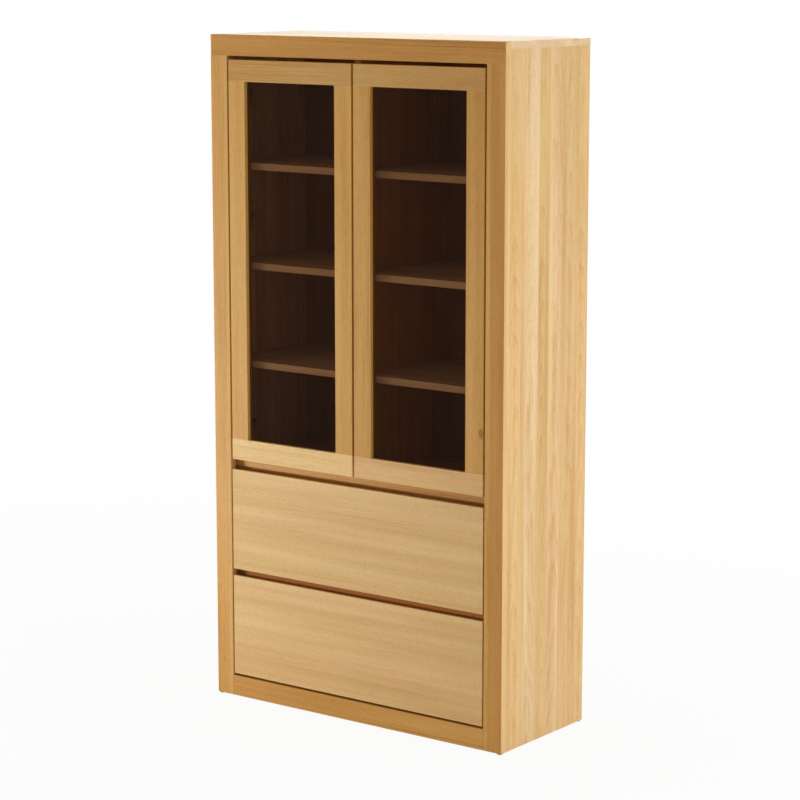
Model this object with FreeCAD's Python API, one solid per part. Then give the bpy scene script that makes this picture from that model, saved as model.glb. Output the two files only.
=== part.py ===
import FreeCAD, Part
import math
import os

# A tall kitchen cabinet in solid wood: two glazed doors over two deep drawers.
# Lengths are in millimetres. X runs to the right, Y towards the wall, Z up.
# The origin is on the floor, under the middle of the case.

# Overall size
width = 1000.0
depth = 400.0
height = 1900.0

# Face frame
frame_thickness = 22.0
stile_width = 59.0
top_rail_height = 58.0
bottom_rail_top = 62.0
frame_tenon_length = 28.0
frame_tenon_thickness = 8.0
frame_tenon_shoulder = 9.0

# Case boards
side_thickness = 20.0
top_thickness = 20.0
base_thickness = 18.0
middle_thickness = 22.0
partition_thickness = 20.0
back_thickness = 6.0
back_rebate = 10.0
back_edge_gap = 0.5
housing_depth = 6.0
inner_setback = 25.0
plinth_rail_thickness = 18.0
drawer_rail_thickness = 18.0
drawer_rail_depth = 60.0
rail_lip_height = 22.0
rail_lip_thickness = 18.0
gap_strip_setback = 8.0
gap_strip_height = 24.0
gap_strip_thickness = 18.0

# Floor glides
glide_radius = 8.5
glide_height = 3.0
glide_edge_margin = 1.5
glide_flat_count = 16

# Doors
door_thickness = 22.0
door_side_gap = 5.0
door_centre_gap = 6.0
door_top_gap = 10.5
door_stile_width = 58.0
door_rail_height = 60.0
door_tenon_length = 24.0
door_tenon_thickness = 7.0
door_tenon_width = 32.0
glass_thickness = 4.0
glass_setback = 12.0
glass_rebate = 10.0
glass_edge_gap = 1.0
bumper_radius = 2.8
bumper_end_distance = 60.0
bumper_running_gap = 0.3
bumper_flat_count = 8

# Shelves
shelf_thickness = 20.0
shelf_setback = 30.0
shelf_end_gap = 1.0
shelf_back_gap = 2.0
first_shelf_underside = 966.0
shelf_pitch = 280.0
shelf_count = 3
pin_radius = 2.5
pin_fit = 0.05
pin_depth = 8.0
pin_peg_radius = 3.5
pin_peg_length = 7.0
pin_edge_distance = 50.0
pin_hole_pitch = 32.0
pin_flat_count = 8

# Drawers
drawer_front_height = 292.0
drawer_front_thickness = 22.0
drawer_side_gap = 4.0
drawer_bottom_gap = 6.5
drawer_between_gap = 19.0
finger_gap = 29.0
finger_bevel_height = 20.0
finger_bevel_depth = 13.0
box_board_thickness = 15.0
box_height = 200.0
box_rise = 20.0
box_rear_gap = 14.0
box_bottom_thickness = 6.0
box_bottom_rise = 12.0
box_groove_depth = 5.0
tail_count = 4
tail_base_share = 0.42
tail_end_share = 0.62
slip_tongue_depth = 8.0
slip_tongue_root = 7.0
slip_tongue_end = 10.0

# Telescopic drawer runners
runner_front_gap = 6.0
runner_rear_gap = 16.0
runner_rise = 60.0
runner_metal = 1.2
runner_depth = 12.7
outer_rail_height = 45.0
outer_rail_reach = 9.0
outer_rail_lip = 3.0
middle_rail_height = 34.0
middle_rail_offset = 2.6
middle_rail_reach = 9.6
inner_rail_height = 25.0
inner_rail_reach = 7.0
cage_running_gap = 0.3
cage_length = 170.0
cage_width = 4.0
packer_height = 60.0

# Door hinges
hinge_end_distance = 95.0
middle_hinge_rise = 690.0
hinge_block_height = 90.0
hinge_block_depth = 85.0
cup_radius = 17.5
cup_depth = 11.5
cup_wall = 1.0
cup_floor = 0.7
cup_centre_inset = 22.5
cup_flange_thickness = 1.0
cup_flange_length = 62.0
cup_flange_width = 24.0
cup_notch_width = 17.0
cup_flat_count = 24
flange_end_flat_count = 12
hinge_pin_radius = 1.25
hinge_pin_fit = 0.05
hinge_eye_flat_count = 12
cup_pin_inset = 15.0
cup_pin_sink = 7.0
link_length = 23.5
link_rise_angle = 29.0
link_bend_along = 12.4
link_bend_sink = 7.5
link_thickness = 2.5
link_width = 12.0
link_eye_radius = 2.6
arm_eye_radius = 3.0
arm_cheek = 1.5
arm_cheek_gap = 0.3
arm_root_reach = 13.0
arm_plate_thickness = 2.0
arm_plate_start = 47.0
arm_plate_end = 100.0
arm_crank_start = 56.0
arm_neck_length = 8.0
arm_wing_start = 64.0
arm_wing_end = 82.0
arm_wing_width = 48.0

# Edges and cuts
edge_round = 1.5
shelf_edge_round = 2.0
cut_overrun = 5.0
match_tolerance = 0.001

# Places that several pieces share
front_y = -depth / 2
back_y = depth / 2
frame_back_y = front_y + frame_thickness
inner_front_y = front_y + inner_setback
opening_half = width / 2 - stile_width
inner_half = width / 2 - side_thickness
top_rail_low = height - top_rail_height
top_panel_low = height - top_thickness
case_low = glide_height
back_front_y = back_y - back_thickness
base_low = bottom_rail_top - base_thickness

lower_front_low = bottom_rail_top + drawer_bottom_gap
upper_front_low = lower_front_low + drawer_front_height + drawer_between_gap
door_low = upper_front_low + drawer_front_height + finger_gap
door_high = top_rail_low - door_top_gap
middle_top = door_low
middle_low = middle_top - middle_thickness
door_outer = opening_half - door_side_gap
door_inner = door_centre_gap / 2
door_back_y = front_y + door_thickness

box_half = opening_half - runner_depth
box_back_y = back_front_y - box_rear_gap
runner_front_y = frame_back_y + runner_front_gap
runner_length = back_front_y - runner_rear_gap - runner_front_y

hinge_heights = (
    door_low + hinge_end_distance,
    door_low + middle_hinge_rise,
    door_high - hinge_end_distance,
)
shelf_names = ("lower", "middle", "upper")


def vector(x, y, z):
    return FreeCAD.Vector(x, y, z)


def board(x_ends, y_ends, z_ends):
    """A rectangular board between two places on each axis."""
    x_low, x_high = sorted(x_ends)
    y_low, y_high = sorted(y_ends)
    z_low, z_high = sorted(z_ends)
    corner = vector(x_low, y_low, z_low)
    return Part.makeBox(x_high - x_low, y_high - y_low, z_high - z_low, corner)


def prism(corners, travel):
    """A flat outline pushed along a straight travel."""
    loop = Part.makePolygon(corners + corners[:1])
    return Part.Face(loop).extrude(travel)


def edges_at(shape, x=None, y=None, z=None):
    """The edges whose ends all have the places asked for."""
    wanted = [(0, x), (1, y), (2, z)]
    found = []
    for edge in shape.Edges:
        ends = [vertex.Point for vertex in edge.Vertexes]
        if all(
            place is None or abs(end[axis] - place) < match_tolerance
            for axis, place in wanted
            for end in ends
        ):
            found.append(edge)
    return found


def rounded(shape, radius, edges):
    return shape.makeFillet(radius, edges)


def flatted_rod(start, travel, radius, flats):
    """A small round drawn with flats, its corners on the radius."""
    across = vector(travel.y, travel.z, travel.x).normalize() * radius
    upwards = travel.cross(across).normalize() * radius
    turns = [math.tau * flat / flats for flat in range(flats)]
    return prism(
        [start + across * math.cos(turn) + upwards * math.sin(turn) for turn in turns], travel
    )


def around(radius, flats):
    """The corner radius of a bore whose flats lie on the radius asked for."""
    return radius / math.cos(math.pi / flats)


def write(node, solids):
    """One file holds one named piece, or a set of equal small pieces."""
    shape = solids[0] if len(solids) == 1 else Part.makeCompound(solids)
    shape.exportStep("parts/" + node + ".step")


# Face frame


def stile_tenon(side, overrun=0):
    """The stub tenon on a stile's top end, or its mortise with an overrun."""
    inner = opening_half + frame_tenon_shoulder
    outer = width / 2 - frame_tenon_shoulder
    middle_y = (front_y + frame_back_y) / 2
    return board(
        (side * inner, side * outer),
        (middle_y - frame_tenon_thickness / 2, middle_y + frame_tenon_thickness / 2),
        (top_rail_low - overrun, top_rail_low + frame_tenon_length),
    )


def rail_tenon(side, overrun=0):
    """The stub tenon on an end of the bottom rail, or its mortise."""
    middle_y = (front_y + frame_back_y) / 2
    return board(
        (side * (opening_half - overrun), side * (opening_half + frame_tenon_length)),
        (middle_y - frame_tenon_thickness / 2, middle_y + frame_tenon_thickness / 2),
        (case_low + frame_tenon_shoulder, bottom_rail_top - frame_tenon_shoulder),
    )


def face_stile(side):
    stile = board(
        (side * opening_half, side * width / 2),
        (front_y, frame_back_y),
        (case_low, top_rail_low),
    )
    arrises = edges_at(stile, x=side * width / 2, y=front_y)
    arrises += edges_at(stile, x=side * opening_half, y=front_y)
    stile = rounded(stile, edge_round, arrises)
    return stile.fuse(stile_tenon(side)).cut(rail_tenon(side, cut_overrun)).removeSplitter()


def face_top_rail():
    rail = board((-width / 2, width / 2), (front_y, frame_back_y), (top_rail_low, height))
    arrises = edges_at(rail, y=front_y, z=height)
    arrises += edges_at(rail, x=width / 2, z=height)
    arrises += edges_at(rail, x=-width / 2, z=height)
    arrises += edges_at(rail, x=width / 2, y=front_y)
    arrises += edges_at(rail, x=-width / 2, y=front_y)
    rail = rounded(rail, edge_round, arrises)
    for side in (-1, 1):
        rail = rail.cut(stile_tenon(side, cut_overrun))
    return rail


def face_bottom_rail():
    rail = board(
        (-opening_half, opening_half), (front_y, frame_back_y), (case_low, bottom_rail_top)
    )
    rail = rounded(rail, edge_round, edges_at(rail, y=front_y, z=bottom_rail_top))
    for side in (-1, 1):
        rail = rail.fuse(rail_tenon(side))
    return rail.removeSplitter()


# Case boards


def pin_places():
    """The depths at which shelf pins stand in each wall."""
    shelf_front = front_y + shelf_setback
    shelf_back = back_front_y - shelf_back_gap
    return (shelf_front + pin_edge_distance, shelf_back - pin_edge_distance)


def shelf_undersides():
    return [first_shelf_underside + shelf_pitch * step for step in range(shelf_count)]


def pin_holes(face_x, direction):
    """Blind holes in a wall's face, one at each pin and a spare one above it."""
    holes = []
    for underside in shelf_undersides():
        for shift in (0, pin_hole_pitch):
            for y in pin_places():
                start = vector(face_x, y, underside - pin_peg_radius + shift)
                inward = vector(-direction * pin_depth, 0, 0)
                bore = around(pin_radius + pin_fit, pin_flat_count)
                holes.append(flatted_rod(start, inward, bore, pin_flat_count))
    return Part.makeCompound(holes)


def across_board(y_ends, z_ends):
    """A board housed into both side panels."""
    half = inner_half + housing_depth
    return board((-half, half), y_ends, z_ends)


def base_board():
    return across_board((frame_back_y, back_front_y), (base_low, bottom_rail_top))


def middle_board():
    return across_board((inner_front_y, back_front_y), (middle_low, middle_top))


def drawer_rail():
    """The rail between the two drawers. Its lip closes the finger gap behind the front."""
    top = upper_front_low
    low = top - drawer_rail_thickness
    rail = across_board((inner_front_y, inner_front_y + drawer_rail_depth), (low, top))
    lip = across_board(
        (inner_front_y, inner_front_y + rail_lip_thickness), (low - rail_lip_height, low)
    )
    return rail.fuse(lip).removeSplitter()


def middle_front_rail():
    """The strip under the middle panel that closes the finger gap over the upper drawer."""
    strip_front_y = inner_front_y + gap_strip_setback
    return across_board(
        (strip_front_y, strip_front_y + gap_strip_thickness),
        (middle_low - gap_strip_height, middle_low),
    )


def centre_partition_board():
    half = partition_thickness / 2
    return board(
        (-half, half),
        (inner_front_y, back_front_y),
        (middle_top - housing_depth, top_panel_low + housing_depth),
    )


def centre_partition():
    partition = centre_partition_board()
    for side in (-1, 1):
        partition = partition.cut(pin_holes(side * partition_thickness / 2, side))
    return partition


def middle_panel():
    return middle_board().cut(centre_partition_board())


def back_recess():
    """The rebate that lets the back panels in flush with the case."""
    half = inner_half + back_rebate
    return board(
        (-half, half),
        (back_front_y, back_y + cut_overrun),
        (base_low, top_panel_low + back_rebate),
    )


def side_panel(side):
    panel = board(
        (side * inner_half, side * width / 2), (frame_back_y, back_y), (case_low, top_panel_low)
    )
    panel = rounded(panel, edge_round, edges_at(panel, x=side * width / 2, y=back_y))
    for housed in (base_board(), middle_board(), middle_front_rail(), drawer_rail()):
        panel = panel.cut(housed)
    panel = panel.cut(back_recess())
    return panel.cut(pin_holes(side * inner_half, -side))


def top_panel():
    panel = board((-width / 2, width / 2), (frame_back_y, back_y), (top_panel_low, height))
    arrises = edges_at(panel, x=width / 2, z=height)
    arrises += edges_at(panel, x=-width / 2, z=height)
    arrises += edges_at(panel, y=back_y, z=height)
    panel = rounded(panel, edge_round, arrises)
    return panel.cut(back_recess()).cut(centre_partition_board())


def back_panel(z_ends):
    half = inner_half + back_rebate - back_edge_gap
    return board((-half, half), (back_front_y, back_y), z_ends)


def back_panel_upper():
    low = (middle_low + middle_top) / 2
    return back_panel((low, top_panel_low + back_rebate - back_edge_gap))


def back_panel_lower():
    high = (middle_low + middle_top) / 2 - back_edge_gap
    return back_panel((base_low + back_edge_gap, high))


def rear_plinth_rail():
    return board(
        (-inner_half, inner_half),
        (back_front_y - plinth_rail_thickness, back_front_y),
        (case_low, base_low),
    )


def floor_glides():
    """A nylon disc under each corner of the case."""
    inset = glide_radius + glide_edge_margin
    glides = []
    for x in (-width / 2 + inset, width / 2 - inset):
        for y in (front_y + inset, back_y - inset):
            upwards = vector(0, 0, glide_height)
            glides.append(flatted_rod(vector(x, y, 0), upwards, glide_radius, glide_flat_count))
    return glides


# Shelves


def shelf(side, step):
    shelf_front = front_y + shelf_setback
    underside = shelf_undersides()[step]
    upper_face = underside + shelf_thickness
    panel = board(
        (side * (partition_thickness / 2 + shelf_end_gap), side * (inner_half - shelf_end_gap)),
        (shelf_front, back_front_y - shelf_back_gap),
        (underside, upper_face),
    )
    arrises = edges_at(panel, y=shelf_front, z=underside)
    arrises += edges_at(panel, y=shelf_front, z=upper_face)
    return rounded(panel, shelf_edge_round, arrises)


def shelf_pin(face_x, direction, y, z):
    """A peg with a stem in the wall and a thicker end that carries the shelf."""
    start = vector(face_x, y, z)
    inward = vector(-direction * pin_depth, 0, 0)
    outward = vector(direction * pin_peg_length, 0, 0)
    stem = flatted_rod(start, inward, pin_radius, pin_flat_count)
    return stem.fuse(flatted_rod(start, outward, pin_peg_radius, pin_flat_count))


def shelf_pins():
    walls = []
    for side in (-1, 1):
        walls.append((side * partition_thickness / 2, side))
        walls.append((side * inner_half, -side))
    return [
        shelf_pin(face_x, direction, y, underside - pin_peg_radius)
        for underside in shelf_undersides()
        for face_x, direction in walls
        for y in pin_places()
    ]


# Doors


def door_x(side, from_hinge_edge):
    """A place across a door, measured from the edge that carries its hinges."""
    return side * (door_outer - from_hinge_edge)


def door_frame_tenon(side, edge_inset, upper, overrun=0):
    """A tenon on a door stile's end, or its mortise in the rail with an overrun."""
    stile_end = door_high - door_rail_height if upper else door_low + door_rail_height
    reach = door_tenon_length if upper else -door_tenon_length
    start = -overrun if upper else overrun
    middle_y = front_y + glass_setback / 2
    return board(
        (door_x(side, edge_inset), door_x(side, edge_inset + door_tenon_width)),
        (middle_y - door_tenon_thickness / 2, middle_y + door_tenon_thickness / 2),
        (stile_end + start, stile_end + reach),
    )


def door_tenon_insets():
    """How far the hinge stile's and the meeting stile's tenons stand from the hinge edge."""
    margin = (door_stile_width - door_tenon_width) / 2
    door_span = door_outer - door_inner
    return (margin, door_span - margin - door_tenon_width)


def glass_space(side):
    """The rebate behind the sight line, open to the back of the door."""
    return board(
        (
            door_x(side, door_stile_width - glass_rebate),
            side * (door_inner + door_stile_width - glass_rebate),
        ),
        (front_y + glass_setback, door_back_y + cut_overrun),
        (door_low + door_rail_height - glass_rebate, door_high - door_rail_height + glass_rebate),
    )


def door_stile(side, is_hinge_stile):
    near = 0 if is_hinge_stile else door_outer - door_inner - door_stile_width
    outer_edge = 0 if is_hinge_stile else door_outer - door_inner
    stile = board(
        (door_x(side, near), door_x(side, near + door_stile_width)),
        (front_y, door_back_y),
        (door_low + door_rail_height, door_high - door_rail_height),
    )
    stile = rounded(stile, edge_round, edges_at(stile, x=door_x(side, outer_edge), y=front_y))
    stile = stile.cut(glass_space(side))
    inset = door_tenon_insets()[0 if is_hinge_stile else 1]
    for upper in (False, True):
        stile = stile.fuse(door_frame_tenon(side, inset, upper))
    stile = stile.removeSplitter()
    if is_hinge_stile:
        for height_of_hinge in hinge_heights:
            stile = stile.cut(cup_bore(side, height_of_hinge))
    return stile


def door_rail(side, upper):
    low = door_high - door_rail_height if upper else door_low
    outer_edge = low + door_rail_height if upper else low
    rail = board(
        (door_x(side, 0), side * door_inner), (front_y, door_back_y), (low, low + door_rail_height)
    )
    arrises = edges_at(rail, y=front_y, z=outer_edge)
    arrises += edges_at(rail, x=door_x(side, 0), y=front_y)
    arrises += edges_at(rail, x=side * door_inner, y=front_y)
    rail = rounded(rail, edge_round, arrises).cut(glass_space(side))
    for inset in door_tenon_insets():
        rail = rail.cut(door_frame_tenon(side, inset, upper, cut_overrun))
    for height_of_hinge in hinge_heights:
        rail = rail.cut(cup_bore(side, height_of_hinge))
    return rail


def glass_pane(side):
    inset = door_stile_width - glass_rebate + glass_edge_gap
    rail_inset = door_rail_height - glass_rebate + glass_edge_gap
    return board(
        (door_x(side, inset), side * (door_inner + inset)),
        (front_y + glass_setback, front_y + glass_setback + glass_thickness),
        (door_low + rail_inset, door_high - rail_inset),
    )


def glazing_beads(side):
    """Four mitred strips that hold the pane in its rebate."""
    x_ends = sorted(
        (
            door_x(side, door_stile_width - glass_rebate),
            side * (door_inner + door_stile_width - glass_rebate),
        )
    )
    z_low = door_low + door_rail_height - glass_rebate
    z_high = door_high - door_rail_height + glass_rebate
    start_y = front_y + glass_setback + glass_thickness
    outer = [
        (x_ends[0], z_low),
        (x_ends[1], z_low),
        (x_ends[1], z_high),
        (x_ends[0], z_high),
    ]
    inner = [
        (x_ends[0] + glass_rebate, z_low + glass_rebate),
        (x_ends[1] - glass_rebate, z_low + glass_rebate),
        (x_ends[1] - glass_rebate, z_high - glass_rebate),
        (x_ends[0] + glass_rebate, z_high - glass_rebate),
    ]
    beads = []
    for corner in range(4):
        following = (corner + 1) % 4
        outline = [outer[corner], outer[following], inner[following], inner[corner]]
        corners = [vector(x, start_y, z) for x, z in outline]
        beads.append(prism(corners, vector(0, door_back_y - start_y, 0)))
    return beads


def door_bumpers():
    """Felt pads on the partition's front edge, two for each door."""
    overlap_middle = (door_inner + partition_thickness / 2) / 2
    thickness = inner_front_y - door_back_y - bumper_running_gap
    pads = []
    for side in (-1, 1):
        for z in (door_low + bumper_end_distance, door_high - bumper_end_distance):
            start = vector(side * overlap_middle, inner_front_y, z)
            forwards = vector(0, -thickness, 0)
            pads.append(flatted_rod(start, forwards, bumper_radius, bumper_flat_count))
    return pads


# Concealed hinges. Places in plan are measured from the stile's inner edge, inwards,
# and from the front face, backwards.


def plan(side, inwards, backwards, z=0):
    return vector(side * (opening_half - inwards), front_y + backwards, z)


def cup_pin_place():
    return (door_side_gap + cup_pin_inset, door_thickness - cup_pin_sink)


def arm_pin_place():
    """The link lies at its rise angle while the door is shut."""
    inwards, backwards = cup_pin_place()
    rise = math.radians(link_rise_angle)
    return (inwards + link_length * math.cos(rise), backwards + link_length * math.sin(rise))


def link_bend_place():
    """The link's bend dips into the cup, so that the rim passes under it."""
    inwards, backwards = cup_pin_place()
    rise = math.radians(link_rise_angle)
    along = vector(math.cos(rise), math.sin(rise), 0) * link_bend_along
    dip = vector(math.sin(rise), -math.cos(rise), 0) * link_bend_sink
    return (inwards + along.x + dip.x, backwards + along.y + dip.y)


def upright_pin(side, place, z, length):
    """A hinge pin standing at a place in plan, centred on a height."""
    return Part.makeCylinder(hinge_pin_radius, length, plan(side, *place, z - length / 2))


def upright(side, place, radius, z, length):
    """A hinge eye, or its bore, drawn with flats."""
    start = plan(side, *place, z - length / 2)
    return flatted_rod(start, vector(0, 0, length), radius, hinge_eye_flat_count)


def cup_bore(side, z):
    start = plan(side, door_side_gap + cup_centre_inset, door_thickness - cup_depth, z)
    return flatted_rod(start, vector(0, cup_depth + cut_overrun, 0), cup_radius, cup_flat_count)


def hinge_cup(side, z):
    """A pressed cup with its flange, and the pin that spans it."""
    centre = door_side_gap + cup_centre_inset
    bottom = plan(side, centre, door_thickness - cup_depth, z)
    inner_bottom = plan(side, centre, door_thickness - cup_depth + cup_floor, z)
    deep = vector(0, cup_depth, 0)
    rise = vector(0, cup_flange_thickness, 0)
    wall = flatted_rod(bottom, deep + rise, cup_radius, cup_flat_count)
    half_width = cup_flange_width / 2
    half_straight = cup_flange_length / 2 - half_width
    flange = board(
        (plan(side, centre - half_width, 0).x, plan(side, centre + half_width, 0).x),
        (door_back_y, door_back_y + cup_flange_thickness),
        (z - half_straight, z + half_straight),
    )
    for end in (-half_straight, half_straight):
        start = plan(side, centre, door_thickness, z + end)
        flange = flange.fuse(flatted_rod(start, rise, half_width, flange_end_flat_count))
    hollow = flatted_rod(inner_bottom, deep + rise, cup_radius - cup_wall, cup_flat_count)
    notch = board(
        (plan(side, door_side_gap, 0).x, plan(side, centre, 0).x),
        (door_back_y, door_back_y + cut_overrun),
        (z - cup_notch_width / 2, z + cup_notch_width / 2),
    )
    cup = wall.fuse(flange).removeSplitter().cut(hollow).cut(notch)
    core = flatted_rod(inner_bottom, deep, cup_radius - cup_wall / 2, cup_flat_count)
    return cup.fuse(upright_pin(side, cup_pin_place(), z, 2 * cup_radius).common(core))


def link_bar(side, start, end, z):
    """A flat bar between two places in plan."""
    along = vector(end[0] - start[0], end[1] - start[1], 0).normalize()
    across = vector(-along.y, along.x, 0) * (link_thickness / 2)
    outline = [
        (start[0] + across.x, start[1] + across.y),
        (end[0] + across.x, end[1] + across.y),
        (end[0] - across.x, end[1] - across.y),
        (start[0] - across.x, start[1] - across.y),
    ]
    corners = [plan(side, *place, z - link_width / 2) for place in outline]
    return prism(corners, vector(0, 0, link_width))


def hinge_link(side, z):
    """The bent link between the arm's pin and the cup's pin."""
    cup_end, bend, arm_end = cup_pin_place(), link_bend_place(), arm_pin_place()
    link = link_bar(side, cup_end, bend, z).fuse(link_bar(side, bend, arm_end, z))
    link = link.fuse(upright(side, bend, link_thickness / 2, z, link_width))
    for place in (cup_end, arm_end):
        link = link.fuse(upright(side, place, link_eye_radius, z, link_width))
    bore = around(hinge_pin_radius + hinge_pin_fit, hinge_eye_flat_count)
    for place in (cup_end, arm_end):
        link = link.cut(upright(side, place, bore, z, link_width + cut_overrun))
    return link.removeSplitter()


def arm_outline(side, z):
    """The arm in plan: a foot along its plate, a crank and a neck up to the pin."""
    inwards, backwards = arm_pin_place()
    neck_end = backwards + arm_neck_length
    foot = arm_plate_thickness
    return [
        plan(side, inwards - arm_eye_radius, backwards, z),
        plan(side, inwards - arm_eye_radius, neck_end, z),
        plan(side, foot, arm_plate_start, z),
        plan(side, foot, arm_plate_end, z),
        plan(side, arm_root_reach, arm_plate_end, z),
        plan(side, arm_root_reach, arm_crank_start, z),
        plan(side, inwards + arm_eye_radius, neck_end + arm_eye_radius, z),
        plan(side, inwards + arm_eye_radius, backwards, z),
    ]


def hinge_arm(side, z):
    """A channel that carries the pin between its cheeks, on a plate with two wings."""
    inner_width = link_width + 2 * arm_cheek_gap
    outer_width = inner_width + 2 * arm_cheek
    arm = prism(arm_outline(side, z - outer_width / 2), vector(0, 0, outer_width))
    arm = arm.fuse(upright(side, arm_pin_place(), arm_eye_radius, z, outer_width))
    hollow = prism(arm_outline(side, z - inner_width / 2), vector(0, 0, inner_width))
    hollow.translate(vector(side * arm_cheek, -arm_cheek, 0))
    inwards, backwards = arm_pin_place()
    mouth = board(
        (plan(side, inwards - cut_overrun, 0).x, plan(side, inwards + cut_overrun, 0).x),
        (front_y, plan(side, 0, backwards + arm_eye_radius + arm_cheek).y),
        (z - inner_width / 2, z + inner_width / 2),
    )
    arm = arm.cut(hollow).cut(mouth)
    plate_z = (z - outer_width / 2, z + outer_width / 2)
    wing_z = (z - arm_wing_width / 2, z + arm_wing_width / 2)
    plate_x = (plan(side, 0, 0).x, plan(side, arm_plate_thickness, 0).x)
    for y_ends, z_ends in (
        ((arm_plate_start, arm_plate_end), plate_z),
        ((arm_wing_start, arm_wing_end), wing_z),
    ):
        places = [front_y + place for place in y_ends]
        arm = arm.fuse(board(plate_x, places, z_ends))
    return arm.fuse(upright_pin(side, arm_pin_place(), z, outer_width)).removeSplitter()


def hinge_blocks():
    """Blocks behind each face stile that carry the hinge plates."""
    return [
        board(
            (side * opening_half, side * inner_half),
            (frame_back_y, frame_back_y + hinge_block_depth),
            (z - hinge_block_height / 2, z + hinge_block_height / 2),
        )
        for side in (-1, 1)
        for z in hinge_heights
    ]


# Drawers


def slip_tongue(side, front_low, bottom_z):
    """The dovetailed tongue on a drawer side's front end, in plan."""
    middle = side * (box_half - box_board_thickness / 2)
    back = front_y + drawer_front_thickness
    corners = [
        vector(middle - slip_tongue_root / 2, back, bottom_z),
        vector(middle + slip_tongue_root / 2, back, bottom_z),
        vector(middle + slip_tongue_end / 2, back - slip_tongue_depth, bottom_z),
        vector(middle - slip_tongue_end / 2, back - slip_tongue_depth, bottom_z),
    ]
    return prism(corners, vector(0, 0, front_low + box_rise + box_height - bottom_z))


def drawer_bottom(front_low):
    half = box_half - box_board_thickness + box_groove_depth
    low = front_low + box_rise + box_bottom_rise
    front_end = front_y + drawer_front_thickness - box_groove_depth
    return board((-half, half), (front_end, box_back_y), (low, low + box_bottom_thickness))


def drawer_front(front_low):
    half = opening_half - drawer_side_gap
    back = front_y + drawer_front_thickness
    high = front_low + drawer_front_height
    front = board((-half, half), (front_y, back), (front_low, high))
    arrises = []
    for z in (front_low, high):
        arrises += edges_at(front, y=front_y, z=z)
    for x in (-half, half):
        arrises += edges_at(front, x=x, y=front_y)
    front = rounded(front, edge_round, arrises)
    bevel = prism(
        [
            vector(-half - cut_overrun, back, high - finger_bevel_height),
            vector(-half - cut_overrun, back - finger_bevel_depth, high),
            vector(-half - cut_overrun, back, high),
        ],
        vector(2 * (half + cut_overrun), 0, 0),
    )
    front = front.cut(bevel)
    for side in (-1, 1):
        front = front.cut(slip_tongue(side, front_low, front_low - cut_overrun))
    return front.cut(drawer_bottom(front_low))


def tail_outlines(front_low):
    """The dovetail tails at a drawer side's rear corner, as outlines in Y and Z."""
    low = front_low + box_rise + box_bottom_rise + box_bottom_thickness
    high = front_low + box_rise + box_height
    pitch = (high - low) / tail_count
    base_half = pitch * tail_base_share / 2
    end_half = pitch * tail_end_share / 2
    root_y = box_back_y - box_board_thickness
    outlines = []
    for tail in range(tail_count):
        middle = low + pitch * tail + pitch / 2
        outlines.append(
            [
                (root_y, middle - base_half),
                (box_back_y, middle - end_half),
                (box_back_y, middle + end_half),
                (root_y, middle + base_half),
            ]
        )
    return outlines


def drawer_tails(side, front_low):
    start_x = side * (box_half - box_board_thickness)
    tails = []
    for outline in tail_outlines(front_low):
        corners = [vector(start_x, y, z) for y, z in outline]
        tails.append(prism(corners, vector(side * box_board_thickness, 0, 0)))
    return tails


def drawer_side(side, front_low):
    low = front_low + box_rise
    panel = board(
        (side * (box_half - box_board_thickness), side * box_half),
        (front_y + drawer_front_thickness, box_back_y - box_board_thickness),
        (low, low + box_height),
    )
    foot = board(
        (side * (box_half - box_board_thickness), side * box_half),
        (box_back_y - box_board_thickness, box_back_y),
        (low, low + box_bottom_rise + box_bottom_thickness),
    )
    panel = panel.fuse(foot).fuse(slip_tongue(side, front_low, low))
    for tail in drawer_tails(side, front_low):
        panel = panel.fuse(tail)
    return panel.removeSplitter().cut(drawer_bottom(front_low))


def drawer_back(front_low):
    low = front_low + box_rise + box_bottom_rise + box_bottom_thickness
    high = front_low + box_rise + box_height
    back = board(
        (-box_half, box_half), (box_back_y - box_board_thickness, box_back_y), (low, high)
    )
    for side in (-1, 1):
        for tail in drawer_tails(side, front_low):
            back = back.cut(tail)
    return back


# Drawer runners. A runner's section is drawn from the packer's face towards the drawer,
# and from the runner's middle height.


def runner_height(front_low):
    return front_low + box_rise + runner_rise


def section_bar(side, front_low, reach_ends, height_ends, length_ends):
    middle = runner_height(front_low)
    return board(
        [side * (opening_half - reach) for reach in reach_ends],
        [runner_front_y + place for place in length_ends],
        [middle + place for place in height_ends],
    )


def channel(side, front_low, web_reach, flange_reach, half_height):
    """A rolled channel: an upright web with a flange at its top and bottom."""
    whole = (0, runner_length)
    web_end = web_reach + (runner_metal if flange_reach > web_reach else -runner_metal)
    rail = section_bar(
        side, front_low, (web_reach, web_end), (-half_height, half_height), whole
    )
    for level in (-half_height, half_height):
        inner_level = level - math.copysign(runner_metal, level)
        rail = rail.fuse(
            section_bar(side, front_low, (web_reach, flange_reach), (level, inner_level), whole)
        )
    return rail


def case_rail(side, front_low):
    """The outer member, screwed to its packer, with lips that hold the ball cages."""
    half = outer_rail_height / 2
    rail = channel(side, front_low, 0, outer_rail_reach, half)
    for level in (-half, half):
        lip_end = level - math.copysign(outer_rail_lip, level)
        rail = rail.fuse(
            section_bar(
                side,
                front_low,
                (outer_rail_reach - runner_metal, outer_rail_reach),
                (level, lip_end),
                (0, runner_length),
            )
        )
    return rail.removeSplitter()


def middle_rail(side, front_low):
    return channel(
        side, front_low, middle_rail_offset, middle_rail_reach, middle_rail_height / 2
    ).removeSplitter()


def drawer_rail_member(side, front_low):
    """The inner member, screwed to the drawer's side."""
    web_face = runner_depth
    flange_end = runner_depth - inner_rail_reach
    return channel(
        side, front_low, web_face, flange_end, inner_rail_height / 2
    ).removeSplitter()


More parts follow.
